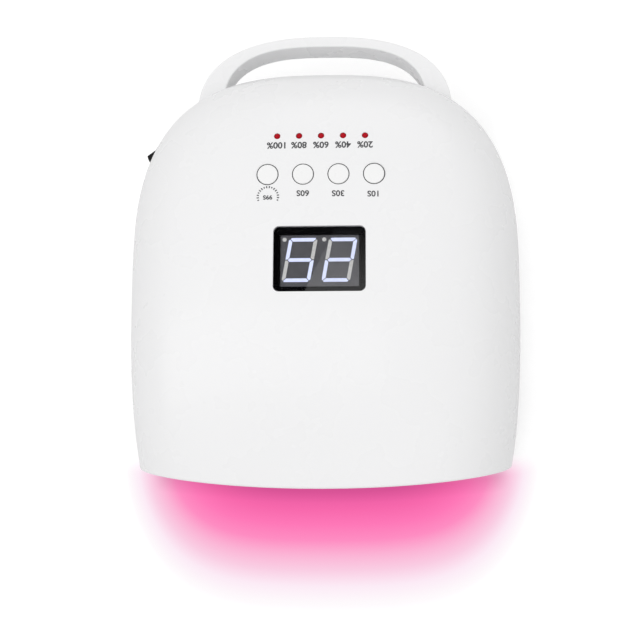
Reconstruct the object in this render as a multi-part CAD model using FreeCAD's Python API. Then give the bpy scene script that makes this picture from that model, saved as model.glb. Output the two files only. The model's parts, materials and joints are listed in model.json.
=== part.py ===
import FreeCAD, Part
import math
import os

from FreeCAD import Vector

# Desk-top UV LED nail lamp with a rear carrying loop, in millimetres.
# +X is to the right and +Z up for a client whose hand goes in at the front (-Y).
# The origin is under the middle of the lamp, on the plane that the feet stand on.

# ---- driving dimensions -------------------------------------------------------------------
HALF_WIDTH = 100.6          # widest half breadth of the domed shell
CREST_Y = -7.6              # the dome is widest and highest here
REAR_REACH = 108.5          # crest to the rearmost point of the dome
FRONT_REACH = 189.0         # crest to where the dome would close in front, were it not cut off
PLAN_POWER = 2.84           # squareness of the plan outline, where 2 is an ellipse
DOME_POWER = 4.2            # squareness of the dome in side and front view
DOME_TOP_Z = 98.0
SHELL_BASE_Z = 6.4          # lower edge of the housing, just above the tray
SHELL_WALL = 2.8
NOSE_FLAT = 18.0            # the top is level for this far in front of the crest, then falls
NOSE_FALL = 0.0013          # fall of the top per square millimetre beyond that

LIP_Y = -119.8              # front edge of the dome, at LIP_Z on the centre line
LIP_Z = 84.0
LIP_LEAN = math.tan(math.radians(10.4))   # the front overhangs by this much per mm of height
LIP_BOW = 600.0             # plan radius of the bowed front
LIP_ROUND = 1.2             # rounding of the outer edge of the mouth

FRAME_Z = (SHELL_BASE_Z, 10.4)            # bottom frame, lower and upper face
CAVITY_HALF = 84.0          # hand cavity: half width, ceiling, rear wall, rear corner radius
CAVITY_TOP = 62.0
CAVITY_REAR = 24.0
CAVITY_CORNER = 50.0
CAVITY_SHOULDER = 22.0
HOOD_WALL = 1.6
TAB_THICK = 1.6             # screw tabs at the foot of the reflector

TRAY_Z = (3.0, 6.0)
FOOT_RADIUS = 8.0

HANDLE_Z = (43.7, 60.0)
HANDLE_OUTER = (66.3, 43.0, 76.8, 2.5)   # half width, depth, start y, squareness
HANDLE_INNER = (52.9, 35.6, 78.6, 2.88)
HANDLE_ROUND = 0.7
TENON_X = (55.0, 61.5)      # tenons that go through the shell's wall
TENON_Y = (75.0, 93.0)
TENON_Z = (47.5, 57.5)

WINDOW_SIZE = (44.7, 32.4)
WINDOW_CENTRE = (-0.5, -9.7)
WINDOW_Z = (96.25, 97.75)
WINDOW_CORNER = 2.8
MASK_Z = 95.85              # lower face of the black mask under the window
DISPLAY_SIZE = (38.3, 25.8)
DISPLAY_CENTRE = (-0.4, -10.4)
DISPLAY_Z = (87.6, 95.6)
DIGITS_CENTRE = (-0.5, -9.9)
DIGIT_PITCH = 19.35
DIGIT_SIZE = (12.1, 20.2)   # between the middle lines of the segments
DIGIT_LEAN = 0.173          # sideways shift per mm of height
SEGMENT_WIDTH = 1.75
SEGMENT_GAP = 0.25
SEGMENT_CUT = 0.5           # blunting of the outer corners of a digit
SEGMENT_THICK = 0.15
DOT_OFFSET = (-7.4, 10.2)   # from the middle of a digit
DOT_RADIUS = 1.0
# Segments in the order top, upper left, upper right, middle, lower left, lower right, bottom.
SHOWN = ("1101011", "1011101")

BOARD_Z = (82.0, 83.6)      # control board, lower and upper face
BUTTON_Y = 32.9
BUTTON_PITCH = 17.4
BUTTON_RADIUS = 5.0
BUTTON_HOLE = 5.42          # radius of a button's hole in the shell
SEAL_Z = (96.4, 97.5)       # soft ring between a button and the rim of its hole
BUTTON_TOP = 98.05
COLLAR_RADIUS = 6.4         # collar that keeps a button from falling out
COLLAR_Z = (92.2, 93.2)
PLUNGER_Z = (86.1, 88.0)
PLUNGER_RADIUS = 1.7
TACT_TOP = 87.1             # upper face of the tact switches
BUTTON_NAMES = ("99s", "60s", "30s", "10s")   # from -X to +X
INDICATOR_Y = 53.2
INDICATOR_PITCH = 10.85
INDICATOR_COUNT = 5
INDICATOR_RADIUS = 1.5
INDICATOR_Z = (91.2, 94.9)  # straight part of each indicator's lens
FLANGE_THICK = 0.8          # rim at the foot of each indicator

SWITCH_Y = 61.8             # power rocker, in the left rear quarter of the wall
SWITCH_Z = 42.0
BEZEL_THICK = 1.2
SWITCH_DEPTH = 14.0         # depth of the switch's body behind the wall
TERMINAL_END = 20.0
TERMINAL_OFFSET = 4.0
BEZEL_FACE = -0.05          # face of the switch's bezel, measured outwards from the wall
ROCKER_TILT = 14.0          # the rocker stands this far to one side or the other
ROCKER_VEE = 12.0           # slope of each half of the rocker's hollow face
ROCKER_CREASE = 3.6         # middle of that face above the pivot
ROCKER_PIVOT = -2.0         # pivot, measured outwards from the wall
ROCKER_SWEEP = 7.0          # radius of the rocker's round ends about its pivot
ROCKER_HALF = 3.6           # half of its height
PIVOT_RADIUS = 1.0
PIVOT_PLAY = 0.05
JACK_X = -76.0              # charging socket, further round to the rear
JACK_Z = 30.0

CELL_RADIUS = 9.1
CELL_HALF = 32.5
CELL_ROWS = (43.0, 62.2, 81.4)
CELL_LAYERS = (20.2, 39.6)
PACK_TOP = 49.4
DRIVER_AREA = ((42.0, 74.0), (33.0, 73.0))
DRIVER_Z = (16.0, 17.6)
COIL_YS = (47.0, 60.0)
COIL_X = 55.0
COIL_GROOVE = (1.5, 6.0)    # height of the winding above the driver board

LED_BOARD_Z = (16.0, 40.0)  # height of the side and rear light boards
LED_BOARD_THICK = 1.2
TOP_BOARD_THICK = 1.6

# Places on the +X side; each has a twin on the -X side.
HOUSING_POSTS = ((91.0, -60.0), (91.0, 5.0), (50.0, 82.0))
BOARD_POSTS = ((38.0, -27.0), (38.0, 57.0))
HOOD_TABS = ((88.9, -76.0), (88.9, -30.0), (46.0, 27.0))
MAGNETS = ((89.2, -89.5), (62.0, 52.0))
FEET = ((74.0, -82.0), (58.0, 62.0))
HANDLE_SCREW = (58.2, 79.0)
DRIVER_POSTS = ((46.0, 37.0), (70.0, 37.0), (46.0, 69.0), (70.0, 69.0))

SCREW_HOLE = 1.45           # radius of a hole that a screw cuts its thread in
SCREW_CLEAR = 1.6           # radius of a hole that a screw passes freely

GAP = 0.15                  # working clearance between parts that aren't fixed together
FAR = 300.0                 # longer than the lamp, for cutting blocks


# ---- small helpers ------------------------------------------------------------------------
def box(x, y, z):
    """A block from three (low, high) pairs."""
    return Part.makeBox(x[1] - x[0], y[1] - y[0], z[1] - z[0], Vector(x[0], y[0], z[0]))


def rod(radius, start, end):
    """A cylinder between two points."""
    start, end = Vector(*start), Vector(*end)
    return Part.makeCylinder(radius, (end - start).Length, start, end - start)


def tube(outer, inner, start, end):
    return rod(outer, start, end).cut(rod(inner, start, end))


def join(shapes):
    """One shape from several that overlap."""
    first, *others = shapes
    return first.fuse(others).removeSplitter() if others else first


def rounded_box(size, centre, z, radius):
    """A flat block with rounded vertical corners."""
    half_x, half_y = size[0] / 2, size[1] / 2
    block = box((centre[0] - half_x, centre[0] + half_x), (centre[1] - half_y, centre[1] + half_y), z)
    upright = [e for e in block.Edges if abs(e.tangentAt(e.FirstParameter).z) > 0.99]
    return block.makeFillet(radius, upright)


def polygon_prism(points, thickness):
    """Prism of a polygon in the XY plane, rising by thickness."""
    corners = [Vector(x, y, 0) for x, y in points]
    return Part.Face(Part.makePolygon(corners + corners[:1])).extrude(Vector(0, 0, thickness))


def mirrored(shape):
    """The same shape on the other side of the lamp's middle plane."""
    return shape.mirror(Vector(0, 0, 0), Vector(1, 0, 0))


def cable(radius, points):
    """A round flexible lead through some points."""
    curve = Part.BSplineCurve()
    curve.interpolate([Vector(*p) for p in points])
    spine = Part.Wire(curve.toShape())
    start, along = curve.value(curve.FirstParameter), curve.tangent(curve.FirstParameter)[0]
    ring = Part.Wire(Part.makeCircle(radius, start, along))
    return spine.makePipeShell([ring], True, False)


def screw(x, y, z_head, length, head_radius=2.7, shank_radius=1.4, up=1):
    """A pan-head screw standing on Z, with its shank pointing up or down from the head."""
    head = rod(head_radius, (x, y, z_head - 1.6 * up), (x, y, z_head))
    slot = box((x - 0.4, x + 0.4), (y - 2, y + 2), sorted((z_head - 1.6 * up, z_head - 0.9 * up)))
    cross = box((x - 2, x + 2), (y - 0.4, y + 0.4), sorted((z_head - 1.6 * up, z_head - 0.9 * up)))
    shank = rod(shank_radius, (x, y, z_head), (x, y, z_head + length * up))
    return join([head.cut(slot).cut(cross), shank])


# ---- the dome and its plan ----------------------------------------------------------------
def plan_point(angle, inset=0.0):
    """A point of the housing's outline at a polar angle about the crest."""
    across, along = math.cos(angle), math.sin(angle)
    reach = (REAR_REACH if along > 0 else FRONT_REACH) - inset
    spread = abs(across / (HALF_WIDTH - inset)) ** PLAN_POWER + abs(along / reach) ** PLAN_POWER
    radius = spread ** (-1 / PLAN_POWER)
    return radius * across, radius * along


def plan_at_y(y, inset=0.0):
    """Half breadth of the housing's outline at y."""
    reach = (REAR_REACH if y > CREST_Y else FRONT_REACH) - inset
    share = abs(y - CREST_Y) / reach
    return (HALF_WIDTH - inset) * (1 - share ** PLAN_POWER) ** (1 / PLAN_POWER)


def plan_at_x(x, inset=0.0):
    """Y of the rear half of the outline at x."""
    share = abs(x) / (HALF_WIDTH - inset)
    return CREST_Y + (REAR_REACH - inset) * (1 - share ** PLAN_POWER) ** (1 / PLAN_POWER)


def plan_normal(x, y):
    """Outward horizontal direction of the rear wall at a point of the outline."""
    dx = math.copysign((abs(x) / HALF_WIDTH) ** (PLAN_POWER - 1) / HALF_WIDTH, x)
    dy = ((y - CREST_Y) / REAR_REACH) ** (PLAN_POWER - 1) / REAR_REACH
    return Vector(dx, dy, 0).normalize()


def nose_fall(y):
    """How far the top has come down at y, in front of the crest."""
    return NOSE_FALL * max(0.0, CREST_Y - y - NOSE_FLAT) ** 2


def dome_profile(rows):
    """(share of plan size, share of height) pairs, evenly spread along the dome's side curve."""
    fine, steps = [], 2000
    for i in range(steps + 1):
        turn = i / steps * math.pi / 2
        share = (math.cos(turn) ** (2 / DOME_POWER), math.sin(turn) ** (2 / DOME_POWER))
        if share[0] >= 0.08:
            fine.append(share)
    lengths = [0.0]
    for a, b in zip(fine, fine[1:]):
        lengths.append(lengths[-1] + math.dist(a, b))
    picked, k = [], 0
    for row in range(rows):
        goal = lengths[-1] * row / (rows - 1)
        while k < len(lengths) - 1 and lengths[k] < goal - 1e-9:
            k += 1
        picked.append(fine[k])
    return picked


def dome(inset=0.0, base_z=SHELL_BASE_Z, columns=72, rows=22):
    """The filled dome, shrunk all round by inset, as a solid with a small flat on its crest."""
    top = DOME_TOP_Z - inset
    grid = []
    for column in range(columns):
        x, y = plan_point(2 * math.pi * column / columns, inset)
        line = []
        for size, height in dome_profile(rows):
            px, py = x * size, CREST_Y + y * size
            line.append(Vector(px, py, base_z + (top - nose_fall(py) - base_z) * height))
        grid.append(line)
    around = [float(k) for k in range(columns + 1)]
    upward = [float(k) for k in range(rows - 2)]
    surface = Part.BSplineSurface()
    surface.buildFromPolesMultsKnots(
        grid, [1] * len(around), [4] + [1] * (len(upward) - 2) + [4],
        around, upward, True, False, 3, 3)
    side = surface.toShape()
    rings = [e for e in side.Edges if e.isClosed() and len(e.Vertexes) == 1]
    caps = [Part.Face(Part.Wire(e)) for e in rings]
    shell = Part.makeShell([side] + caps)
    shell.sewShape()
    solid = Part.makeSolid(shell)
    if solid.Volume < 0:
        solid.reverse()
    return solid


def outline_prism(inset, z):
    """A straight-sided block with the housing's outline."""
    points = []
    for column in range(72):
        x, y = plan_point(2 * math.pi * column / 72, inset)
        points.append(Vector(x, CREST_Y + y, z[0]))
    curve = Part.BSplineCurve()
    curve.buildFromPolesMultsKnots(points, [1] * 73, [float(k) for k in range(73)], True, 3)
    return Part.Face(Part.Wire(curve.toShape())).extrude(Vector(0, 0, z[1] - z[0]))


def in_front(setback=0.0):
    """Everything in front of the leaning, bowed plane of the lamp's mouth."""
    low_z, rise, half = -10.0, 140.0, 130.0
    y = LIP_Y + (LIP_Z - low_z) * LIP_LEAN + setback
    back = y + half ** 2 / (2 * LIP_BOW)
    arc = Part.Arc(Vector(-half, back, low_z), Vector(0, y, low_z), Vector(half, back, low_z)).toShape()
    side = Part.makePolygon([Vector(half, back, low_z), Vector(half, -FAR, low_z),
                             Vector(-half, -FAR, low_z), Vector(-half, back, low_z)])
    return Part.Face(Part.Wire([arc] + side.Edges)).extrude(Vector(0, -rise * LIP_LEAN, rise))


# ---- places shared by several parts -------------------------------------------------------
def both_sides(places):
    """Each place and its twin on the -X side."""
    return [(sign * x, y) for x, y in places for sign in (-1, 1)]


def on_wall(shape, x, y, z):
    """Move a shape modelled with +Y outwards and its origin on the wall's face to its place."""
    normal = plan_normal(x, y)
    turn = math.degrees(math.atan2(normal.y, normal.x)) - 90
    return shape.rotated(Vector(0, 0, 0), Vector(0, 0, 1), turn).translated(Vector(x, y, z))


def wall_share(z):
    """Size of the dome's outline at height z, as a share of its size at the base."""
    height = (z - SHELL_BASE_Z) / (DOME_TOP_Z - SHELL_BASE_Z)
    return (1 - height ** DOME_POWER) ** (1 / DOME_POWER)


def at_switch(shape):
    x = -plan_at_y(SWITCH_Y) * wall_share(SWITCH_Z)
    return on_wall(shape, x, SWITCH_Y, SWITCH_Z)


def at_jack(shape):
    return on_wall(shape, JACK_X, plan_at_x(JACK_X), JACK_Z)


def cavity(extra, low):
    """The space for the hand, grown by extra, as a block running out of the mouth."""
    half, rear, top = CAVITY_HALF + extra, CAVITY_REAR + extra, CAVITY_TOP + extra
    block = box((-half, half), (-FAR, rear), (low, top))
    corners = [e for e in block.Edges if abs(e.tangentAt(e.FirstParameter).z) > 0.9
               and e.CenterOfMass.y > 0]
    block = block.makeFillet(CAVITY_CORNER + extra, corners)
    brow = [e for e in block.Edges if e.BoundBox.ZMin > top - 0.01 and e.BoundBox.YMax > 1 - FAR]
    return block.makeFillet(CAVITY_SHOULDER + extra, brow)


def led_places():
    """Each bead's seat on its board and the direction in which it shines."""
    places = []
    wall = CAVITY_HALF + HOOD_WALL
    for x in (-50, -30, -10, 10, 30, 50):
        for y in (-90, -56, -22):
            places.append((Vector(x, y, CAVITY_TOP + HOOD_WALL), Vector(0, 0, -1)))
    for z in (22, 34):
        for y in (-90, -70, -50, -30):
            places.append((Vector(-wall, y, z), Vector(1, 0, 0)))
            places.append((Vector(wall, y, z), Vector(-1, 0, 0)))
        for x in (-27, -9, 9, 27):
            places.append((Vector(x, CAVITY_REAR + HOOD_WALL, z), Vector(0, -1, 0)))
    return places


def button_x(index):
    return (index - 1.5) * BUTTON_PITCH


def indicator_x(index):
    return (index - (INDICATOR_COUNT - 1) / 2) * INDICATOR_PITCH


# ---- housing ------------------------------------------------------------------------------
def shell_fittings():
    """Posts, seats and frames moulded on to the inside of the shell, still uncut."""
    parts = []
    for x, y in both_sides(HOUSING_POSTS):
        parts.append(rod(4, (x, y, FRAME_Z[1]), (x, y, 34)))
        if abs(x) > 80:
            side = math.copysign(1, x)
            parts.append(box(sorted((x, x + 10 * side)), (y - 1.2, y + 1.2), (FRAME_Z[1], 34)))
        else:
            parts.append(box((x - 1.2, x + 1.2), (y, y + 14), (FRAME_Z[1], 34)))
    for x, y in both_sides(BOARD_POSTS):
        parts.append(rod(3.4, (x, y, BOARD_Z[1]), (x, y, DOME_TOP_Z)))
    for side in (-1, 1):
        parts.append(box(sorted((52.5 * side, 64 * side)), (73, 100), (45, 60)))
    parts.append(at_switch(box((-10.5, 10.5), (-5, 1), (-7.4, 7.4))))
    parts.append(at_jack(box((-7, 7), (-4, 1), (-7.5, 7.5))))
    rim = (WINDOW_SIZE[0] + 5, WINDOW_SIZE[1] + 5)
    parts.append(rounded_box(rim, WINDOW_CENTRE, (92.5, DOME_TOP_Z), WINDOW_CORNER + 2.5))
    return parts


def shell_openings():
    """Everything that is cut out of the shell."""
    cuts = []
    pocket = (WINDOW_SIZE[0] + 2 * GAP, WINDOW_SIZE[1] + 2 * GAP)
    throat = (DISPLAY_SIZE[0] + 0.8, DISPLAY_SIZE[1] + 0.8)
    cuts.append(rounded_box(pocket, WINDOW_CENTRE, (MASK_Z, 110), WINDOW_CORNER + GAP))
    cuts.append(rounded_box(throat, DISPLAY_CENTRE, (80, 110), 0.6))
    for k in range(len(BUTTON_NAMES)):
        place = (button_x(k), BUTTON_Y)
        cuts.append(rod(BUTTON_HOLE, place + (85,), place + (110,)))
    for k in range(INDICATOR_COUNT):
        place = (indicator_x(k), INDICATOR_Y)
        cuts.append(rod(INDICATOR_RADIUS + 0.1, place + (85,), place + (110,)))
    for x, y in both_sides(HOUSING_POSTS):
        cuts.append(rod(SCREW_HOLE, (x, y, 0), (x, y, 26)))
    for x, y in both_sides(BOARD_POSTS):
        cuts.append(rod(SCREW_HOLE, (x, y, 80), (x, y, 89.5)))
    for x, y in both_sides((HANDLE_SCREW,)):
        side = math.copysign(1, x)
        slot_x = sorted(((TENON_X[0] - GAP) * side, (TENON_X[1] + GAP) * side))
        cuts.append(box(slot_x, (TENON_Y[0] - 0.2, 110), (TENON_Z[0] - GAP, TENON_Z[1] + GAP)))
        cuts.append(rod(SCREW_HOLE, (x, y, 40), (x, y, 50)))
    cuts.append(at_switch(box((-9.1, 9.1), (BEZEL_FACE - BEZEL_THICK, 9), (-6.1, 6.1))))
    cuts.append(at_switch(box((-8.05, 8.05), (-9, 9), (-4.85, 4.85))))
    cuts.append(at_jack(rod(5.4, (0, -0.4, 0), (0, 9, 0))))
    cuts.append(at_jack(rod(4.15, (0, -9, 0), (0, 9, 0))))
    return cuts


def top_shell():
    hollow = dome(SHELL_WALL, SHELL_BASE_Z - 1)
    skin = dome().cut(hollow)
    fittings = join(shell_fittings()).common(dome(SHELL_WALL / 2))
    shell = skin.fuse(fittings).cut(shell_openings()).cut(in_front())
    shell = shell.common(box((-FAR, FAR), (-FAR, FAR), (SHELL_BASE_Z, FAR)))
    lip = [e for e in shell.Edges if e.BoundBox.XLength > 185 and e.BoundBox.ZLength > 70]
    return shell.makeFillet(LIP_ROUND, lip)


def mouth_bezel():
    """White arch closing the gap between the shell and the reflector at the mouth."""
    plate = in_front(4.6).cut(in_front(2.0))
    plate = plate.common(dome(SHELL_WALL + GAP, SHELL_BASE_Z - 2))
    plate = plate.cut(cavity(HOOD_WALL + GAP, -20))
    return plate.common(box((-FAR, FAR), (-FAR, FAR), (SHELL_BASE_Z, FAR)))


def bottom_frame():
    """U-shaped floor of the housing, with posts for the driver board."""
    frame = outline_prism(SHELL_WALL + GAP, FRAME_Z)
    frame = frame.cut(cavity(HOOD_WALL + GAP, -20)).cut(in_front(4.8))
    posts = [rod(3, (x, y, FRAME_Z[0] + 1), (x, y, DRIVER_Z[0])) for x, y in DRIVER_POSTS]
    cuts = []
    for x, y in both_sides(HOUSING_POSTS):
        cuts.append(rod(3, (x, y, 0), (x, y, 8.5)))
        cuts.append(rod(SCREW_CLEAR, (x, y, 0), (x, y, 20)))
    for x, y in both_sides(HOOD_TABS):
        cuts.append(rod(SCREW_HOLE, (x, y, 7), (x, y, 20)))
    for x, y in both_sides(MAGNETS):
        cuts.append(rod(3.05, (x, y, 0), (x, y, TRAY_Z[1] + 2.6)))
    for x, y in DRIVER_POSTS:
        cuts.append(rod(SCREW_HOLE, (x, y, 9), (x, y, 20)))
    return frame.fuse(posts).cut(cuts)


def reflector_hood():
    """Silvered liner of the hand space, open at the mouth and below."""
    low = SHELL_BASE_Z + 0.4
    tab_z = (FRAME_Z[1], FRAME_Z[1] + TAB_THICK)
    tabs = []
    for x, y in both_sides(HOOD_TABS):
        side = math.copysign(1, x)
        if abs(x) > 80:
            tabs.append(box(sorted((84.5 * side, 92.4 * side)), (y - 4, y + 4), tab_z))
        else:
            tabs.append(box((x - 4, x + 4), (18, 31), tab_z))
    hood = cavity(HOOD_WALL, low).fuse(tabs).cut(cavity(0, low - 5)).cut(in_front(1.0))
    cuts = [rod(2.8, at - way, at + way * 4) for at, way in led_places()]
    cuts += [rod(SCREW_CLEAR, (x, y, 0), (x, y, 20)) for x, y in both_sides(HOOD_TABS)]
    return hood.cut(cuts)


def loop_block(shape_of):
    """A block with the plan of one side of the carrying loop."""
    half, depth, start, power = shape_of
    points = []
    for k in range(64):
        turn = 2 * math.pi * k / 64
        across, along = math.cos(turn), math.sin(turn)
        radius = (abs(across / half) ** power + abs(along / depth) ** power) ** (-1 / power)
        points.append(Vector(radius * across, start + radius * along, HANDLE_Z[0]))
    curve = Part.BSplineCurve()
    curve.buildFromPolesMultsKnots(points, [1] * 65, [float(k) for k in range(65)], True, 3)
    return Part.Face(Part.Wire(curve.toShape())).extrude(Vector(0, 0, HANDLE_Z[1] - HANDLE_Z[0]))


def handle():
    """Fixed carrying loop with two tenons that go through the shell's wall."""
    loop = loop_block(HANDLE_OUTER).cut(loop_block(HANDLE_INNER))
    loop = loop.makeFillet(HANDLE_ROUND, [e for e in loop.Edges if e.BoundBox.ZLength < 0.01])
    loop = loop.cut(dome(-0.08))
    tenons = []
    for x, y in both_sides((HANDLE_SCREW,)):
        side = math.copysign(1, x)
        tenons.append(box(sorted((TENON_X[0] * side, TENON_X[1] * side)), TENON_Y, TENON_Z))
    holes = [rod(SCREW_HOLE, (x, y, 40), (x, y, 54.5)) for x, y in both_sides((HANDLE_SCREW,))]
    return loop.fuse(tenons).cut(holes)


def handle_screws():
    return [screw(x, y, 45, 9) for x, y in both_sides((HANDLE_SCREW,))]


def housing_screws():
    return [screw(x, y, 8.5, 16) for x, y in both_sides(HOUSING_POSTS)]


def hood_screws():
    return [screw(x, y, FRAME_Z[1] + TAB_THICK, 4.5, up=-1) for x, y in both_sides(HOOD_TABS)]


def frame_magnets():
    return [rod(3, (x, y, TRAY_Z[1]), (x, y, TRAY_Z[1] + 2.6)) for x, y in both_sides(MAGNETS)]


# ---- removable tray -----------------------------------------------------------------------
def base_tray():
    tray = outline_prism(1.2, TRAY_Z).cut(in_front(0.6))
    return tray.cut([rod(3.5, (x, y, TRAY_Z[1] - 1.4), (x, y, 20)) for x, y in both_sides(MAGNETS)])


def tray_discs():
    return [rod(3.4, (x, y, TRAY_Z[1] - 1.4), (x, y, TRAY_Z[1])) for x, y in both_sides(MAGNETS)]


def rubber_feet():
    feet = []
    for x, y in both_sides(FEET):
        foot = rod(FOOT_RADIUS, (x, y, 0), (x, y, TRAY_Z[0]))
        feet.append(foot.makeChamfer(0.8, [e for e in foot.Edges if e.BoundBox.ZMax < 0.01]))
    return feet


# ---- UV light -----------------------------------------------------------------------------
def led_board_top():
    top = CAVITY_TOP + HOOD_WALL
    return box((-58, 58), (-98, -13), (top, top + TOP_BOARD_THICK))


def led_board_right():
    wall = CAVITY_HALF + HOOD_WALL
    return box((wall, wall + LED_BOARD_THICK), (-95.5, -27), LED_BOARD_Z)


def led_board_rear():
    wall = CAVITY_REAR + HOOD_WALL
    return box((-33, 33), (wall, wall + LED_BOARD_THICK), LED_BOARD_Z)


def uv_leds():
    return [rod(2.6, at, at + way * 1.2) for at, way in led_places()]


def uv_led_lenses():
    return [Part.makeSphere(2.2, at + way * 1.2, way, 0, 90, 360) for at, way in led_places()]


# ---- control panel ------------------------------------------------------------------------
def button(index):
    """Round key with a retaining collar and a stem that rests on its switch."""
    x = button_x(index)
    cap = rod(BUTTON_RADIUS, (x, BUTTON_Y, COLLAR_Z[0]), (x, BUTTON_Y, BUTTON_TOP))
    rim = [e for e in cap.Edges if e.BoundBox.ZMin > BUTTON_TOP - 0.01]
    collar = rod(COLLAR_RADIUS, (x, BUTTON_Y, COLLAR_Z[0]), (x, BUTTON_Y, COLLAR_Z[1]))
    stem = rod(1.6, (x, BUTTON_Y, PLUNGER_Z[1]), (x, BUTTON_Y, COLLAR_Z[0]))
    return join([cap.makeFillet(0.5, rim), collar, stem])


def plunger(index):
    x = button_x(index)
    return rod(PLUNGER_RADIUS, (x, BUTTON_Y, PLUNGER_Z[0]), (x, BUTTON_Y, PLUNGER_Z[1]))


def key_seals():
    places = [(button_x(k), BUTTON_Y) for k in range(len(BUTTON_NAMES))]
    return [tube(BUTTON_HOLE, BUTTON_RADIUS + 0.08, p + (SEAL_Z[0],), p + (SEAL_Z[1],)) for p in places]


def tact_switches():
    switches = []
    for k in range(len(BUTTON_NAMES)):
        x = button_x(k)
        body = box((x - 3, x + 3), (BUTTON_Y - 3, BUTTON_Y + 3), (BOARD_Z[1], TACT_TOP))
        well = rod(PLUNGER_RADIUS + 0.1, (x, BUTTON_Y, PLUNGER_Z[0] - 0.9), (x, BUTTON_Y, PLUNGER_Z[1]))
        switches.append(body.cut(well))
    return switches


def control_board():
    board = box((-44, 44), (-32, 62), BOARD_Z)
    return board.cut([rod(SCREW_CLEAR, (x, y, 80), (x, y, 90)) for x, y in both_sides(BOARD_POSTS)])


def board_screws():
    return [screw(x, y, BOARD_Z[0], 6.6) for x, y in both_sides(BOARD_POSTS)]


def display_module():
    return rounded_box(DISPLAY_SIZE, DISPLAY_CENTRE, DISPLAY_Z, 0.4)


def display_pins():
    """Two rows of pins between the display and the control board."""
    pins = []
    for x in range(-9, 10, 3):
        for y in (-11, 11):
            px, py = DISPLAY_CENTRE[0] + x, DISPLAY_CENTRE[1] + y
            pins.append(box((px - 0.3, px + 0.3), (py - 0.3, py + 0.3), (BOARD_Z[1], DISPLAY_Z[0])))
    return pins


def segment_outlines():
    """Corners of the seven segments of a digit, before it is slanted."""
    x, y, half, gap = DIGIT_SIZE[0] / 2, DIGIT_SIZE[1] / 2, SEGMENT_WIDTH / 2, SEGMENT_GAP
    end_x, end_y, cut = x + half - gap, y + half - gap, SEGMENT_CUT
    top = ((cut - end_x, y + half - cut), (2 * cut - end_x, y + half),
           (end_x - 2 * cut, y + half), (end_x - cut, y + half - cut),
           (x - half - gap, y - half), (half + gap - x, y - half))
    upper_left = ((-x - half, end_y - 2 * cut), (cut - x - half, end_y - cut),
                  (half - x, y - half - gap), (half - x, half + gap), (-x, gap), (-x - half, gap))
    middle = ((gap - x, 0), (gap + half - x, half), (x - half - gap, half),
              (x - gap, 0), (x - half - gap, -half), (gap + half - x, -half))
    upper_right = [(-px, py) for px, py in upper_left]
    upper = (top, upper_left, upper_right)
    lower_left, lower_right, bottom = ([(px, -py) for px, py in points]
                                       for points in (upper_left, upper_right, top))
    return upper + (middle, lower_left, lower_right, bottom)


def digit_x(digit):
    return DIGITS_CENTRE[0] + (digit - 0.5) * DIGIT_PITCH


def segment(outline, digit):
    """One bar of a digit, slanted with it."""
    points = [(digit_x(digit) + x + DIGIT_LEAN * y, DIGITS_CENTRE[1] + y) for x, y in outline]
    return polygon_prism(points, SEGMENT_THICK).translated(Vector(0, 0, DISPLAY_Z[1]))


def display_segments(wanted):
    """The bars of both digits that are lit ("1") or not ("0")."""
    bars = []
    for digit, pattern in enumerate(SHOWN):
        for outline, state in zip(segment_outlines(), pattern):
            if state == wanted:
                bars.append(segment(outline, digit))
    return bars


def display_unlit():
    """Dark bars and the two dark decimal points."""
    parts = display_segments("0")
    for digit in range(len(SHOWN)):
        x, y = digit_x(digit) + DOT_OFFSET[0], DIGITS_CENTRE[1] + DOT_OFFSET[1]
        parts.append(rod(DOT_RADIUS, (x, y, DISPLAY_Z[1]), (x, y, DISPLAY_Z[1] + SEGMENT_THICK)))
    return parts


def display_mask():
    ring = rounded_box(WINDOW_SIZE, WINDOW_CENTRE, (MASK_Z, WINDOW_Z[0]), WINDOW_CORNER)
    return ring.cut(rounded_box(DISPLAY_SIZE, DISPLAY_CENTRE, (90, 100), 0.4))


def display_window():
    return rounded_box(WINDOW_SIZE, WINDOW_CENTRE, WINDOW_Z, WINDOW_CORNER)


def indicator_lenses():
    """Five small round-headed LEDs showing the charge."""
    lenses = []
    for k in range(INDICATOR_COUNT):
        x = indicator_x(k)
        low, high = (Vector(x, INDICATOR_Y, z) for z in INDICATOR_Z)
        body = rod(INDICATOR_RADIUS, low, high)
        head = Part.makeSphere(INDICATOR_RADIUS, high, Vector(0, 0, 1), 0, 90, 360)
        flange = rod(INDICATOR_RADIUS + 0.4, low - Vector(0, 0, FLANGE_THICK), low)
        lenses.append(join([body, head, flange]))
    return lenses


def indicator_leads():
    leads = []
    for k in range(INDICATOR_COUNT):
        for side in (-1.27, 1.27):
            x = indicator_x(k) + side
            leads.append(box((x - 0.25, x + 0.25), (INDICATOR_Y - 0.25, INDICATOR_Y + 0.25),
                             (BOARD_Z[1], INDICATOR_Z[0] - FLANGE_THICK)))
    return leads


# ---- power --------------------------------------------------------------------------------
def cell_points_right(row):
    """Neighbouring rows of cells are laid head to tail."""
    return row % 2 == 0


def battery_cells():
    cells = []
    for row, y in enumerate(CELL_ROWS):
        head = 1 if cell_points_right(row) else -1
        for z in CELL_LAYERS:
            body = rod(CELL_RADIUS, (-CELL_HALF * head, y, z), ((CELL_HALF - 0.8) * head, y, z))
            nub = rod(2.8, ((CELL_HALF - 0.8) * head, y, z), (CELL_HALF * head, y, z))
            cells.append(join([body, nub]))
    return cells


def battery_spacers():
    """Two plates that hold the six cells apart and stand on the frame's floor."""
    spacers = []
    for side in (-1, 1):
        plate = box(sorted((27 * side, 29.5 * side)), (CELL_ROWS[0] - 10, CELL_ROWS[-1] + 10),
                    (FRAME_Z[1], PACK_TOP))
        holes = [rod(CELL_RADIUS + 0.1, (-50, y, z), (50, y, z)) for y in CELL_ROWS for z in CELL_LAYERS]
        spacers.append(plate.cut(holes))
    return spacers


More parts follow.
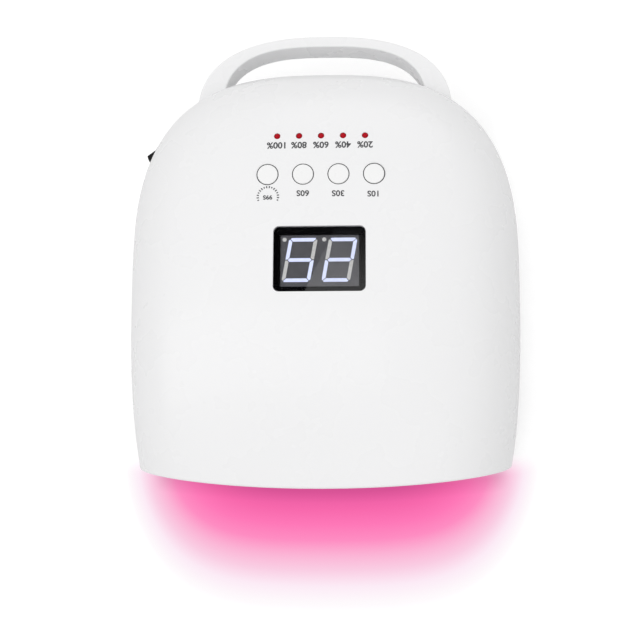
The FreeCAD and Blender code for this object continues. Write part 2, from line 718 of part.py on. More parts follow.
def battery_strips():
    """Nickel links welded to the ends of the cells: three pairs in series."""
    links = ((1, 0, 0), (-1, 0, 1), (1, 1, 2), (-1, 2, 2))
    strips = []
    for side, first, last in links:
        x = sorted((CELL_HALF * side, (CELL_HALF + 0.2) * side))
        y = (CELL_ROWS[first] - 3.5, CELL_ROWS[last] + 3.5)
        strips.append(box(x, y, (CELL_LAYERS[0] - 3.5, CELL_LAYERS[1] + 3.5)))
    return strips


def bms_board():
    return box((-31, 31), (52, 72), (PACK_TOP, PACK_TOP + 1.2))


def driver_board():
    board = box(DRIVER_AREA[0], DRIVER_AREA[1], DRIVER_Z)
    return board.cut([rod(SCREW_CLEAR, (x, y, 10), (x, y, 20)) for x, y in DRIVER_POSTS])


def driver_screws():
    return [screw(x, y, DRIVER_Z[1], 7.5, up=-1) for x, y in DRIVER_POSTS]


def coil_ring(radius, y):
    """The space of a choke's winding, out to some radius."""
    low, high = (DRIVER_Z[1] + z for z in COIL_GROOVE)
    return tube(radius, 4.6, (COIL_X, y, low), (COIL_X, y, high))


def driver_coils():
    """Two wound chokes on the driver board."""
    coils = []
    for y in COIL_YS:
        core = rod(5.4, (COIL_X, y, DRIVER_Z[1]), (COIL_X, y, DRIVER_Z[1] + 7.5))
        coils.append(core.cut(coil_ring(6, y)))
    return coils


def coil_windings():
    return [coil_ring(5.2, y) for y in COIL_YS]


def driver_capacitors():
    caps = []
    for y in (48, 58):
        can = rod(4, (67.5, y, DRIVER_Z[1]), (67.5, y, DRIVER_Z[1] + 12))
        caps.append(can.makeFillet(0.6, [e for e in can.Edges if e.BoundBox.ZMin > DRIVER_Z[1] + 11]))
    return caps


def board_chips():
    """Integrated circuits: two on the driver board, one under the control board, one on the pack."""
    return [box((53, 58), (67, 71), (DRIVER_Z[1], DRIVER_Z[1] + 1.6)),
            box((60, 65), (65, 70), (DRIVER_Z[1], DRIVER_Z[1] + 1.6)),
            box((-8, 8), (6, 16), (BOARD_Z[0] - 2, BOARD_Z[0])),
            box((-6, 6), (58, 66), (PACK_TOP + 1.2, PACK_TOP + 2.8))]


def connectors():
    """White pin headers that the leads plug into."""
    return [box((43, 47.5), (44, 62), (DRIVER_Z[1], DRIVER_Z[1] + 6)),
            box((56, 66), (34, 38.5), (DRIVER_Z[1], DRIVER_Z[1] + 6)),
            box((16, 28), (40, 45), (BOARD_Z[0] - 6, BOARD_Z[0]))]


def jack_hole():
    return rod(2.8, (0, -10.5, 0), (0, 5, 0))


def dc_jack():
    """Round charging socket on the inside of the wall, with its neck in the wall."""
    body = box((-4.5, 4.5), (-14, -4), (-5.5, 5.5))
    neck = rod(4, (0, -4, 0), (0, -0.4, 0))
    return at_jack(join([body, neck]).cut(jack_hole()))


def jack_pin():
    return at_jack(rod(1, (0, -10.5, 0), (0, -2, 0)))


def switch_housing():
    """Snap-in body of the power switch, with a flat bezel let into the wall."""
    bezel = box((-9, 9), (BEZEL_FACE - BEZEL_THICK, BEZEL_FACE), (-6, 6))
    upright = [e for e in bezel.Edges if abs(e.tangentAt(e.FirstParameter).y) > 0.9]
    body = box((-7.9, 7.9), (-SWITCH_DEPTH, BEZEL_FACE - BEZEL_THICK), (-4.7, 4.7))
    well = box((-ROCKER_SWEEP - 0.1, ROCKER_SWEEP + 0.1), (-10.2, 5),
               (-ROCKER_HALF - GAP, ROCKER_HALF + GAP))
    pivot = rod(PIVOT_RADIUS + PIVOT_PLAY, (0, ROCKER_PIVOT, -4.45), (0, ROCKER_PIVOT, 4.45))
    return at_switch(join([bezel.makeFillet(1.2, upright), body]).cut(well).cut(pivot))


def power_rocker():
    """Rocker with a shallow V face, tilted so that its front end stands out."""
    disc = rod(ROCKER_SWEEP, (0, 0, -ROCKER_HALF), (0, 0, ROCKER_HALF))
    end_height = ROCKER_CREASE + 8 * math.tan(math.radians(ROCKER_VEE))
    face = ((-8, -3.4), (8, -3.4), (8, end_height), (0, ROCKER_CREASE), (-8, end_height))
    paddle = polygon_prism(face, 2 * ROCKER_HALF).translated(Vector(0, 0, -ROCKER_HALF)).common(disc)
    pivot = rod(PIVOT_RADIUS, (0, 0, -4.35), (0, 0, 4.35))
    rocker = join([paddle, pivot]).rotated(Vector(0, 0, 0), Vector(0, 0, 1), -ROCKER_TILT)
    return at_switch(rocker.translated(Vector(0, ROCKER_PIVOT, 0)))


def switch_terminals():
    places = (-TERMINAL_OFFSET, TERMINAL_OFFSET)
    return [at_switch(box((x - 0.4, x + 0.4), (-TERMINAL_END, -SWITCH_DEPTH), (-2.4, 2.4))) for x in places]


# ---- wiring -------------------------------------------------------------------------------
def battery_leads():
    return [cable(0.9, ((33.4, y, 30), (37, y + 0.5, 28), (40, 52 + k, 22), (42.6, 52 + k, 20.5)))
            for k, y in ((0, 43), (4, 64))]


def switch_leads():
    """From the power switch over the battery to the driver board."""
    leads = []
    for k, x in enumerate((-TERMINAL_OFFSET, TERMINAL_OFFSET)):
        start = at_switch(Part.Vertex(x, -TERMINAL_END - 1.2, 0)).Point
        y = 45.5 + 3.6 * k
        leads.append(cable(0.8, (start, (-58, y, 56), (-20, y, 56), (20, y, 56), (39, y, 46),
                                 (45, y, 32), (45, y, 23.9))))
    return leads


def jack_leads():
    """From the charging socket over the battery to the driver board."""
    leads = []
    for k in (0, 1):
        start = at_jack(Part.Vertex(-2 + 4 * k, -14.4, 0)).Point
        y = 56.5 + 3.6 * k
        leads.append(cable(0.8, (start, (-52, 58 + 4 * k, 42), (-36, 74 + 4 * k, 55), (0, 74 + 4 * k, 56),
                                 (30, y + 8, 55), (40, y, 44), (45, y, 32), (45, y, 23.9))))
    return leads


def led_leads():
    """From the driver board to the top light board, and on to the other three."""
    top = CAVITY_TOP + HOOD_WALL + TOP_BOARD_THICK + 1
    leads = [cable(0.8, ((57 + k, 36, 23.9), (57 + k, 35.5, 32), (46 + k, 28, 60), (40 + k, 18, 69),
                         (36 + k, -8, top + 1), (36 + k, -15, top))) for k in (0, 2.2)]
    leads.append(cable(0.6, ((20, -15, top), (20, 4, top), (20, 19, 59), (20, 26.6, 47), (20, 26.4, 40.8))))
    for side in (-1, 1):
        leads.append(cable(0.6, ((57 * side, -40, top), (70 * side, -40, top - 1), (83.6 * side, -40, 54),
                                 (86.9 * side, -40, 45), (86.3 * side, -40, 40.8))))
    return leads


def control_leads():
    """From the driver board up to the control board."""
    leads = []
    for k in range(4):
        low_y, high_y = 34.5 + 1.2 * k, 40.8 + 1.2 * k
        leads.append(cable(0.5, ((63, low_y, 23.9), (63, low_y, 32), (44, low_y + 3, 60),
                                 (22, high_y, 70), (22, high_y, 75.6))))
    return leads


# ---- output -------------------------------------------------------------------------------
def save(node, shape):
    """Write one named piece; a list becomes one group of loose solids."""
    if isinstance(shape, list):
        shape = Part.makeCompound(shape)
    shape.exportStep("parts/" + node + ".step")


PIECES = {
    "top_shell": top_shell,
    "mouth_bezel": mouth_bezel,
    "bottom_frame": bottom_frame,
    "reflector_hood": reflector_hood,
    "handle": handle,
    "handle_screws": handle_screws,
    "housing_screws": housing_screws,
    "hood_screws": hood_screws,
    "frame_magnets": frame_magnets,
    "base_tray": base_tray,
    "tray_discs": tray_discs,
    "rubber_feet": rubber_feet,
    "led_board_top": led_board_top,
    "led_board_right": led_board_right,
    "led_board_left": lambda: mirrored(led_board_right()),
    "led_board_rear": led_board_rear,
    "uv_leds": uv_leds,
    "uv_led_lenses": uv_led_lenses,
    "key_seals": key_seals,
    "tact_switches": tact_switches,
    "control_board": control_board,
    "board_screws": board_screws,
    "board_chips": board_chips,
    "display_module": display_module,
    "display_pins": display_pins,
    "display_lit": lambda: display_segments("1"),
    "display_unlit": display_unlit,
    "display_mask": display_mask,
    "display_window": display_window,
    "indicator_lenses": indicator_lenses,
    "indicator_leads": indicator_leads,
    "battery_cells": battery_cells,
    "battery_spacers": battery_spacers,
    "battery_strips": battery_strips,
    "bms_board": bms_board,
    "driver_board": driver_board,
    "driver_screws": driver_screws,
    "driver_coils": driver_coils,
    "coil_windings": coil_windings,
    "driver_capacitors": driver_capacitors,
    "connectors": connectors,
    "dc_jack": dc_jack,
    "jack_pin": jack_pin,
    "switch_housing": switch_housing,
    "power_rocker": power_rocker,
    "switch_terminals": switch_terminals,
    "battery_leads": battery_leads,
    "switch_leads": switch_leads,
    "jack_leads": jack_leads,
    "led_leads": led_leads,
    "control_leads": control_leads,
}

os.makedirs("parts", exist_ok=True)
for name, make in PIECES.items():
    save(name, make())
for number, label in enumerate(BUTTON_NAMES):
    save("button_" + label, button(number))
    save("plunger_" + label, plunger(number))
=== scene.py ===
import json
import math

import bpy
from mathutils import Matrix, Vector


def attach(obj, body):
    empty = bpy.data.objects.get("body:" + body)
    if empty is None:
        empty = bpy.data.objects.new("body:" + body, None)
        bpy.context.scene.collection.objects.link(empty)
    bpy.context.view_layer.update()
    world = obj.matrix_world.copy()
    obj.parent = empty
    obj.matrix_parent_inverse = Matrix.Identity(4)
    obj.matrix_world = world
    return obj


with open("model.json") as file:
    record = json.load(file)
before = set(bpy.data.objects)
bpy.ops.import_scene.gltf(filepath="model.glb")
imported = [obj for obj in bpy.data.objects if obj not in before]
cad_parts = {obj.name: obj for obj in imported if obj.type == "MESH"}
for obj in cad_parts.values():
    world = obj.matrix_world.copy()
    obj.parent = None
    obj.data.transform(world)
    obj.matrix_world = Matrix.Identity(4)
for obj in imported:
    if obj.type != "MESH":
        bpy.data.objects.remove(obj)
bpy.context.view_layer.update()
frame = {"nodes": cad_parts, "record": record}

MM = 0.001

# ---- view ---------------------------------------------------------------------------------
VIEW_TARGET = Vector((0, -29.0, 45)) * MM
VIEW_DISTANCE = 0.8               # metres
VIEW_TILT = (math.tan(math.radians(2.7)), -math.tan(math.radians(12)), 1)   # towards the camera
VIEW_ROLL = math.radians(-0.2)
VIEW_SHIFT = -0.0082              # share of the picture's width
FOCAL_LENGTH = 87.5               # millimetres

# ---- unevenness of every material ---------------------------------------------------------
NOISE_SPAN = (0.3, 0.7)           # part of the noise's values that is used
ROUGHNESS_SPREAD = 0.12           # share by which the roughness goes up and down
ROUGHNESS_FINER = 4               # how much finer it varies than the colour
RELIEF_DEPTH = 0.1 * MM
LIT_MOTTLE = 0.05                 # unevenness of a lit piece's colour
LIT_MOTTLE_SCALE = 300
LIT_LEAST = 0.85                  # and of the light it gives off
LIT_MOST = 1.1
LIT_SCALE = 500

# ---- painted reflection in the display window ---------------------------------------------
PAINTED_REFLECTION_SLANT = 0.46               # how far its edge leans to the side on the way to the rear
PAINTED_REFLECTION_EDGE = (4.0 * MM, 4.6 * MM)    # the painted reflection sets in across this
PAINTED_REFLECTION_ENDS = (8 * MM, -24 * MM)  # from nothing near the rear to its full strength at the front
PAINTED_REFLECTION_SHARE = 0.042
MIRROR_ELSEWHERE = 0.0015

# ---- painted light on the floor, and light from the surroundings --------------------------
GLOW_CENTRE_X = 1.0 * MM
GLOW_FRONT_Y = -110.8 * MM        # the painted light on the floor is strongest along a curve through here
GLOW_BOW = 675 * MM               # plan radius of that curve
GLOW_ONSET = (-12 * MM, 1 * MM)   # ahead of that curve, where the light begins and is whole
GLOW_SPREAD = 144 * MM            # the larger, the less the light fades to the sides
GLOW_REACH = 70 * MM
GLOW_FADE = 60 * MM               # from here to its full reach the light gives way to the floor
GLOW_POWER = 1.5                  # squareness of the pool's corners, where 2 is round
PAINTED_LIP_SHADE = 0.2               # painted shade: how much of the painted light is taken away right under the front edge
PAINTED_LIP_SHADE_REACH = (-1 * MM, 8 * MM)    # that painted shade fades out over this distance ahead
PAINTED_LIP_SHADE_SIDES = (32 * MM, 44 * MM)   # and over this much to the sides, as pool_distances counts it
FLOOR_WHITE = (0.79, 0.81)        # darkest and palest speck of the floor
FLOOR_SPECK_SCALE = 40
FLOOR_LIFT = 0.30                 # added to the floor where it is seen directly, for pale shadows
FLOOR_HALF = 3.0                  # metres
SKY_HORIZON = 0.60                # brightness of the surroundings at the horizon
SKY_RISE = 0.37                   # added to that straight above
LIGHT_AIM = Vector((0, 0, 50)) * MM

# Name, place and size in metres, and power in watts
LIGHTS = (("key", (-0.75, -0.05, 1.3), (0.5, 2.0), 4.6),
          ("fill", (0.3, -0.8, 0.9), (0.9, 0.9), 1.2),
          ("rear", (0.25, 0.95, 0.75), (0.9, 0.6), 1.3))

# Colour of the painted light on the floor against the distance from where it is strongest, as a
# share of its reach; its darkest stop is painted shade right under the front edge.
PAINTED_GLOW_COLORS = ((0.034, (0.80, 0.101, 0.355)), (0.163, (0.93, 0.138, 0.413)),
               (0.274, (0.99, 0.184, 0.474)), (0.394, (0.99, 0.263, 0.539)),
               (0.506, (0.965, 0.451, 0.665)), (0.617, (0.95, 0.61, 0.77)),
               (0.737, (0.97, 0.83, 0.92)), (0.857, (0.99, 0.95, 0.975)), (1.0, (1, 1, 1)))

# ---- printed legends, in millimetres ------------------------------------------------------
INK_LIFT = 0.03
INK_THICKNESS = 0.03
RAY_START = 200                   # well above the lamp
READ_FROM_BEHIND = math.pi        # turn of the text, for someone who stands at the loop
# Text, place and size
KEY_LABELS = (("60S", -8.7, 23.3, 4.1), ("30S", 8.6, 23.1, 4.1), ("10S", 25.9, 22.8, 4.1),
              ("99S", -25.9, 21.3, 3.0))
KEY_STRETCH = 1.05
KEY_BOLD = 0.09
GAUGE_MARKS = ("20%", "40%", "60%", "80%", "100%")
GAUGE_Y = 48.4
GAUGE_PITCH = 10.85
GAUGE_SIZE = 4.6
GAUGE_BOLD = 0.12
ARC_TICKS = 16
ARC_CENTRE = (-25.8, 21.5)
ARC_RADIUS = 5.0
ARC_SPAN = math.radians(220)
TICK_HALF_LENGTHS = (0.4, 0.55, 0.55)   # repeated along the arc
TICK_HALF_WIDTH = 0.28


# ---- node helpers -------------------------------------------------------------------------
def new_material(name):
    mat = bpy.data.materials.new(name)
    mat.use_nodes = True
    return mat, mat.node_tree


def add(tree, kind, **values):
    """A node with some of its properties or inputs set; inputs are named with spaces as _."""
    node = tree.nodes.new(kind)
    for key, value in values.items():
        label = key.replace("_", " ")
        if label in node.inputs:
            node.inputs[label].default_value = value
        else:
            setattr(node, key, value)
    return node


def place(tree, stretch=(1, 1, 1)):
    """Object coordinates in metres, optionally stretched."""
    coords = add(tree, "ShaderNodeTexCoord")
    mapping = add(tree, "ShaderNodeMapping", Scale=stretch)
    tree.links.new(coords.outputs["Object"], mapping.inputs["Vector"])
    return mapping.outputs["Vector"]


def axes(tree, kind="Object"):
    """X, Y and Z of one kind of coordinates, as separate outputs."""
    split = add(tree, "ShaderNodeSeparateXYZ")
    coords = add(tree, "ShaderNodeTexCoord")
    tree.links.new(coords.outputs[kind], split.inputs["Vector"])
    return split.outputs


def noise(tree, where, scale, low, high, detail=3.0):
    """Noise of a given scale per metre, remapped to a range."""
    tex = add(tree, "ShaderNodeTexNoise", Scale=scale, Detail=detail)
    tree.links.new(where, tex.inputs["Vector"])
    spread = add(tree, "ShaderNodeMapRange", From_Min=NOISE_SPAN[0], From_Max=NOISE_SPAN[1],
                 To_Min=low, To_Max=high)
    tree.links.new(tex.outputs["Fac"], spread.inputs["Value"])
    return spread.outputs["Result"]


def math_node(tree, operation, *operands):
    """One arithmetic node; each operand is a number or another node's output."""
    node = add(tree, "ShaderNodeMath", operation=operation)
    for socket, value in zip(node.inputs, operands):
        if isinstance(value, (int, float)):
            socket.default_value = value
        else:
            tree.links.new(value, socket)
    return node.outputs["Value"]


def rest_of(tree, share):
    """What a share leaves of 1."""
    return math_node(tree, "SUBTRACT", 1.0, share)


def remap(tree, value, low, high, smooth=True):
    """0 at low and 1 at high."""
    node = add(tree, "ShaderNodeMapRange", From_Min=low, From_Max=high)
    node.interpolation_type = "SMOOTHSTEP" if smooth else "LINEAR"
    tree.links.new(value, node.inputs["Value"])
    return node.outputs["Result"]


# ---- materials ----------------------------------------------------------------------------
def shade(color, factor):
    """A lighter or darker version of a colour, with its alpha."""
    return tuple(min(1.0, c * factor) for c in color) + (1.0,)


def surface(name, color, roughness=0.4, metallic=0.0, mottle=0.03, mottle_scale=60,
            grain=0.02, grain_scale=2500, stretch=(1, 1, 1), **inputs):
    """Solid material whose colour, roughness and relief all vary a little."""
    mat, tree = new_material(name)
    bsdf = tree.nodes["Principled BSDF"]
    where = place(tree, stretch)
    blend = noise(tree, where, mottle_scale, 0.0, 1.0)
    mix = add(tree, "ShaderNodeMix", data_type="RGBA", A=shade(color, 1 - mottle),
              B=shade(color, 1 + mottle))
    tree.links.new(blend, mix.inputs["Factor"])
    tree.links.new(mix.outputs["Result"], bsdf.inputs["Base Color"])
    rough = noise(tree, where, mottle_scale * ROUGHNESS_FINER, roughness * (1 - ROUGHNESS_SPREAD),
                  min(1.0, roughness * (1 + ROUGHNESS_SPREAD)))
    tree.links.new(rough, bsdf.inputs["Roughness"])
    bsdf.inputs["Metallic"].default_value = metallic
    bump = add(tree, "ShaderNodeBump", Strength=grain, Distance=RELIEF_DEPTH)
    height = noise(tree, where, grain_scale, 0.0, 1.0, detail=2.0)
    tree.links.new(height, bump.inputs["Height"])
    tree.links.new(bump.outputs["Normal"], bsdf.inputs["Normal"])
    for key, value in inputs.items():
        bsdf.inputs[key.replace("_", " ")].default_value = value
    return mat


def glowing(name, color, glow, strength, roughness=0.3, **inputs):
    """Lit plastic: a solid that also gives off light, brightest where noise says so."""
    mat = surface(name, color, roughness=roughness, mottle=LIT_MOTTLE,
                  mottle_scale=LIT_MOTTLE_SCALE, **inputs)
    tree = mat.node_tree
    bsdf = tree.nodes["Principled BSDF"]
    bsdf.inputs["Emission Color"].default_value = glow + (1.0,)
    level = noise(tree, place(tree), LIT_SCALE, strength * LIT_LEAST, strength * LIT_MOST)
    tree.links.new(level, bsdf.inputs["Emission Strength"])
    return mat


def window_material():
    """Clear acrylic with a painted reflection on one side of a slanted edge, more so at the front.
    """
    mat, tree = new_material("clear_window_painted_reflection")
    tree.nodes.clear()
    out = add(tree, "ShaderNodeOutputMaterial")
    clear = add(tree, "ShaderNodeBsdfTransparent", Color=(0.93, 0.93, 0.94, 1))
    gloss = add(tree, "ShaderNodeBsdfGlossy", Color=(1, 1, 1, 1), Roughness=0.04)
    both = add(tree, "ShaderNodeMixShader")
    where = axes(tree)
    # painted reflection: the gloss is mixed in only on one side of a slanted edge, more so at the
    # front
    lean = math_node(tree, "MULTIPLY", where["Y"], PAINTED_REFLECTION_SLANT)
    beyond = remap(tree, math_node(tree, "SUBTRACT", where["X"], lean), *PAINTED_REFLECTION_EDGE)
    nearness = remap(tree, where["Y"], *PAINTED_REFLECTION_ENDS, smooth=False)
    painted_reflection = math_node(tree, "MULTIPLY", beyond, math_node(tree, "MULTIPLY", nearness, PAINTED_REFLECTION_SHARE))
    tree.links.new(math_node(tree, "ADD", painted_reflection, MIRROR_ELSEWHERE), both.inputs["Fac"])
    tree.links.new(clear.outputs["BSDF"], both.inputs[1])
    tree.links.new(gloss.outputs["BSDF"], both.inputs[2])
    tree.links.new(both.outputs["Shader"], out.inputs["Surface"])
    return mat


# ---- finishes of the CAD pieces -----------------------------------------------------------
SLOTS = {
    "white_gloss": surface("white_shell", (0.815, 0.815, 0.82), roughness=0.28, mottle=0.003,
                           mottle_scale=12, grain=0.015, grain_scale=900, Specular_IOR_Level=0.25,
                           Coat_Weight=0.08),
    "white_matte": surface("white_base", (0.76, 0.76, 0.76), roughness=0.5, mottle=0.015, grain=0.3,
                           grain_scale=3500),
    "key_white": surface("white_keys", (0.83, 0.83, 0.83), roughness=0.3, mottle=0.01, grain=0.05,
                         grain_scale=1500),
    "silver": surface("metallised_liner", (0.85, 0.85, 0.88), roughness=0.16, metallic=1.0,
                      mottle=0.02, grain=0.12, grain_scale=400),
    "black_gloss": surface("black_gloss", (0.006, 0.006, 0.007), roughness=0.3, mottle=0.1,
                           Specular_IOR_Level=0.15),
    "mask_ink": surface("mask_ink", (0.0015, 0.0015, 0.002), roughness=0.7, mottle=0.2,
                        Specular_IOR_Level=0.02),
    "black_matte": surface("black_moulding", (0.02, 0.02, 0.02), roughness=0.55, mottle=0.1,
                           grain=0.3),
    "rubber": surface("soft_rubber", (0.03, 0.03, 0.033), roughness=0.85, mottle=0.12, grain=0.5,
                      grain_scale=4000),
    "steel": surface("zinc_steel", (0.56, 0.57, 0.58), roughness=0.32, metallic=1.0, mottle=0.06,
                     stretch=(1, 1, 14), grain=0.15),
    "nickel": surface("nickel", (0.70, 0.68, 0.64), roughness=0.2, metallic=1.0, mottle=0.05),
    "board_white": surface("white_board", (0.82, 0.82, 0.80), roughness=0.45, mottle=0.02,
                           grain=0.15),
    "board_green": surface("green_board", (0.02, 0.16, 0.06), roughness=0.35, mottle=0.2,
                           mottle_scale=500, grain=0.2),
    "led_body": surface("bead_package", (0.8, 0.76, 0.68), roughness=0.4, mottle=0.04),
    "uv_lens": glowing("bead_dome", (0.8, 0.7, 0.95), (0.75, 0.12, 0.9), 6.0, roughness=0.1),
    "red_lens": glowing("red_indicator", (0.33, 0.001, 0.006), (0.8, 0.0, 0.03), 0.1,
                        Specular_IOR_Level=0.12),
    "segment_lit": glowing("segment_lit", (0.62, 0.67, 0.88), (0.70, 0.76, 1.0), 0.42),
    "segment_off": surface("segment_off", (0.66, 0.66, 0.63), roughness=0.5, mottle=0.1,
                           mottle_scale=900),
    "display_grey": surface("display_face", (0.07, 0.07, 0.076), roughness=0.45, mottle=0.15,
                            mottle_scale=250, grain=0.2),
    "window": window_material(),
    "cell_wrap": surface("cell_sleeve", (0.02, 0.1, 0.32), roughness=0.28, mottle=0.06),
    "copper": surface("winding", (0.62, 0.26, 0.1), roughness=0.3, metallic=1.0, mottle=0.1,
                      stretch=(1, 1, 30), grain=0.6, grain_scale=1500),
    "can": surface("capacitor_can", (0.62, 0.63, 0.66), roughness=0.3, metallic=1.0, mottle=0.04),
    "wire_red": surface("lead_red", (0.5, 0.02, 0.015), roughness=0.45, mottle=0.06),
    "wire_white": surface("lead_white", (0.75, 0.75, 0.72), roughness=0.45, mottle=0.04),
}
INK = surface("legend_ink", (0.06, 0.06, 0.065), roughness=0.5, mottle=0.15, mottle_scale=800)


def finish_cad_pieces():
    """Give each CAD piece the material of its slot."""
    for entry in frame["record"]["subparts"]:
        materials = frame["nodes"][entry["node"]].data.materials
        materials.clear()
        materials.append(SLOTS[entry["material_slot"]])


# ---- printed legends ----------------------------------------------------------------------
def drop_to_shell(mesh):
    """Lower each point of a flat mesh to just above the top of the shell."""
    graph = bpy.context.evaluated_depsgraph_get()
    shell = frame["nodes"]["top_shell"].evaluated_get(graph)
    for vertex in mesh.vertices:
        start = Vector((vertex.co.x, vertex.co.y, RAY_START * MM))
        _, where, _, _ = shell.ray_cast(start, Vector((0, 0, -1)))
        vertex.co.z = where.z + INK_LIFT * MM


def printed(name, mesh):
    """Lay a flat mesh on the housing as a thin film of ink."""
    drop_to_shell(mesh)
    mesh.materials.clear()
    mesh.materials.append(INK)
    piece = bpy.data.objects.new(name, mesh)
    bpy.context.scene.collection.objects.link(piece)
    film = piece.modifiers.new("film", "SOLIDIFY")
    film.thickness = INK_THICKNESS * MM
    film.offset = 1.0
    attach(piece, "housing")


def lettering(text, size, centre, bold, stretch=1.0):
    """Mesh of a line of text centred on a place; all lengths are in millimetres."""
    curve = bpy.data.curves.new("lettering", "FONT")
    curve.body = text
    curve.size = size * MM
    curve.align_x = "CENTER"
    curve.align_y = "CENTER"
    curve.offset = bold * MM
    curve.resolution_u = 4
    holder = bpy.data.objects.new("lettering", curve)
    bpy.context.scene.collection.objects.link(holder)
    graph = bpy.context.evaluated_depsgraph_get()
    mesh = bpy.data.meshes.new_from_object(holder.evaluated_get(graph))
    bpy.data.objects.remove(holder)
    move = Matrix.Translation(Vector(centre).to_3d() * MM)
    turn = Matrix.Rotation(READ_FROM_BEHIND, 4, "Z")
    mesh.transform(move @ turn @ Matrix.Diagonal((stretch, 1, 1, 1)))
    return mesh


def tick_corners(index):
    """Corners of one radial tick on the arc round the left button."""
    turn = math.pi / 2 + ARC_SPAN * (index / (ARC_TICKS - 1) - 0.5)
    outward = Vector((math.cos(turn), math.sin(turn)))
    across = Vector((-outward.y, outward.x)) * TICK_HALF_WIDTH
    along = outward * TICK_HALF_LENGTHS[index % len(TICK_HALF_LENGTHS)]
    centre = Vector(ARC_CENTRE) + outward * ARC_RADIUS
    corners = [centre + along * a + across * b for a, b in ((-1, -1), (1, -1), (1, 1), (-1, 1))]
    return [corner.to_3d() * MM for corner in corners]


def tick_mesh():
    """Flat mesh of the ticks of that arc."""
    verts = [corner for index in range(ARC_TICKS) for corner in tick_corners(index)]
    faces = [tuple(range(start, start + 4)) for start in range(0, len(verts), 4)]
    mesh = bpy.data.meshes.new("ticks")
    mesh.from_pydata(verts, [], faces)
    return mesh


def build_legends():
    for text, x, y, size in KEY_LABELS:
        printed("legend_" + text, lettering(text, size, (x, y), KEY_BOLD, KEY_STRETCH))
    for index, text in enumerate(GAUGE_MARKS):
        x = ((len(GAUGE_MARKS) - 1) / 2 - index) * GAUGE_PITCH
        mesh = lettering(text, GAUGE_SIZE, (x, GAUGE_Y), GAUGE_BOLD)
        printed("gauge_mark_%d" % (index + 1), mesh)
    printed("legend_arc", tick_mesh())


# ---- studio -------------------------------------------------------------------------------
def pool_distances(tree):
    """How far a place is ahead of the curve where the light is strongest, how much it counts as
    aside, and both together."""
    where = axes(tree)
    aside = math_node(tree, "SUBTRACT", where["X"], GLOW_CENTRE_X)
    square = math_node(tree, "MULTIPLY", aside, aside)
    bow = math_node(tree, "DIVIDE", square, 2 * GLOW_BOW)
    curve_y = math_node(tree, "ADD", bow, GLOW_FRONT_Y)
    ahead = math_node(tree, "SUBTRACT", curve_y, where["Y"])
    sideways = math_node(tree, "MULTIPLY", math_node(tree, "ABSOLUTE", aside),
                         math_node(tree, "DIVIDE", square, GLOW_SPREAD ** 2))
    powers = [math_node(tree, "POWER", math_node(tree, "MAXIMUM", side, 0.0), GLOW_POWER)
              for side in (ahead, sideways)]
    away = math_node(tree, "POWER", math_node(tree, "ADD", *powers), 1 / GLOW_POWER)
    return ahead, sideways, away


def painted_pool_color(tree, away):
    """Colour of the painted light on the floor at a distance."""
    ramp = add(tree, "ShaderNodeValToRGB")
    stops = ramp.color_ramp.elements
    stops.remove(stops[0])
    for index, (where, color) in enumerate(PAINTED_GLOW_COLORS):
        stop = stops[0] if index == 0 else stops.new(where)
        stop.position = where
        stop.color = color + (1,)
    tree.links.new(math_node(tree, "DIVIDE", away, GLOW_REACH), ramp.inputs["Fac"])
    return ramp.outputs["Color"]


def pool_strength_with_painted_shade(tree, ahead, sideways):
    """Full strength, except for painted shade close to the middle of the lamp's front edge."""
    under_lip = rest_of(tree, remap(tree, ahead, *PAINTED_LIP_SHADE_REACH, smooth=False))
    within = rest_of(tree, remap(tree, sideways, *PAINTED_LIP_SHADE_SIDES))
    painted_lip_shade = math_node(tree, "MULTIPLY", under_lip, within)
    return rest_of(tree, math_node(tree, "MULTIPLY", painted_lip_shade, PAINTED_LIP_SHADE))


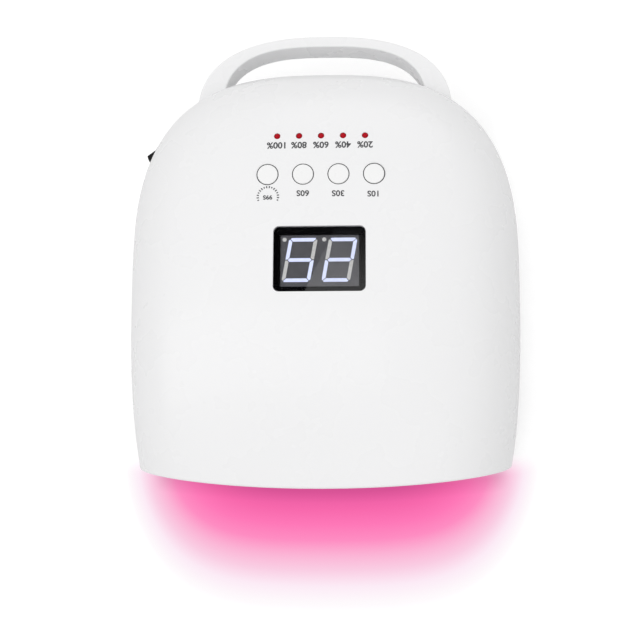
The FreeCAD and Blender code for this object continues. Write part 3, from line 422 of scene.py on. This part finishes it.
def floor_material():
    """White floor with a painted pink pool of light in front of the mouth."""
    mat, tree = new_material("studio_floor_painted_glow")
    bsdf = tree.nodes["Principled BSDF"]
    bsdf.inputs["Roughness"].default_value = 0.9
    bsdf.inputs["Specular IOR Level"].default_value = 0.1
    ahead, sideways, away = pool_distances(tree)
    pool = math_node(tree, "MULTIPLY", remap(tree, ahead, *GLOW_ONSET),
                     rest_of(tree, remap(tree, away, GLOW_FADE, GLOW_REACH)))
    speckle = noise(tree, place(tree), FLOOR_SPECK_SCALE, *FLOOR_WHITE)
    white = add(tree, "ShaderNodeCombineColor")
    for channel in ("Red", "Green", "Blue"):
        tree.links.new(speckle, white.inputs[channel])
    # the floor's own white gives way to black under the painted pool, whose colour is given off as
    # light
    base = add(tree, "ShaderNodeMix", data_type="RGBA", B=(0, 0, 0, 1))
    tree.links.new(pool, base.inputs["Factor"])
    tree.links.new(white.outputs["Color"], base.inputs["A"])
    tree.links.new(base.outputs["Result"], bsdf.inputs["Base Color"])
    seen = add(tree, "ShaderNodeLightPath").outputs["Is Camera Ray"]
    # painted light: the floor gives off the pink pool's colour, and FLOOR_LIFT where it is seen
    # directly
    lit = add(tree, "ShaderNodeMix", data_type="RGBA")
    tree.links.new(pool, lit.inputs["Factor"])
    tree.links.new(math_node(tree, "MULTIPLY", seen, FLOOR_LIFT), lit.inputs["A"])
    tree.links.new(painted_pool_color(tree, away), lit.inputs["B"])
    tree.links.new(lit.outputs["Result"], bsdf.inputs["Emission Color"])
    tree.links.new(pool_strength_with_painted_shade(tree, ahead, sideways), bsdf.inputs["Emission Strength"])
    return mat


def build_floor():
    mesh = bpy.data.meshes.new("floor")
    corners = [(a * FLOOR_HALF, b * FLOOR_HALF, 0) for a, b in ((-1, -1), (1, -1), (1, 1), (-1, 1))]
    mesh.from_pydata(corners, [], [(0, 1, 2, 3)])
    mesh.materials.append(floor_material())
    floor = bpy.data.objects.new("floor", mesh)
    bpy.context.scene.collection.objects.link(floor)


def area_light(name, location, size, power):
    """A soft rectangular light turned towards the lamp."""
    data = bpy.data.lights.new(name, "AREA")
    data.shape = "RECTANGLE"
    data.size, data.size_y = size
    data.energy = power
    light = bpy.data.objects.new(name, data)
    light.location = location
    light.rotation_euler = (LIGHT_AIM - Vector(location)).to_track_quat("-Z", "Y").to_euler()
    bpy.context.scene.collection.objects.link(light)


def build_world():
    """White surroundings that are brighter overhead."""
    world = bpy.data.worlds.new("studio")
    world.use_nodes = True
    tree = world.node_tree
    height = math_node(tree, "MAXIMUM", axes(tree, "Generated")["Z"], 0.0)
    level = math_node(tree, "ADD", math_node(tree, "MULTIPLY", height, SKY_RISE), SKY_HORIZON)
    background = tree.nodes["Background"]
    background.inputs["Color"].default_value = (1, 1, 1, 1)
    tree.links.new(level, background.inputs["Strength"])
    bpy.context.scene.world = world


def build_camera():
    """A camera above the lamp, slightly in front of it, with the loop at the picture's top."""
    data = bpy.data.cameras.new("camera")
    data.lens = FOCAL_LENGTH
    data.shift_x = VIEW_SHIFT
    back = Vector(VIEW_TILT).normalized()
    right = Vector((math.tan(VIEW_ROLL), 1, 0)).cross(back).normalized()
    up = back.cross(right)
    turn = Matrix((right, up, back)).transposed().to_4x4()
    camera = bpy.data.objects.new("camera", data)
    camera.matrix_world = Matrix.Translation(VIEW_TARGET + back * VIEW_DISTANCE) @ turn
    bpy.context.scene.collection.objects.link(camera)
    bpy.context.scene.camera = camera


finish_cad_pieces()
build_legends()
build_floor()
build_world()
for light in LIGHTS:
    area_light(*light)
build_camera()
bpy.context.scene.view_settings.view_transform = "Standard"
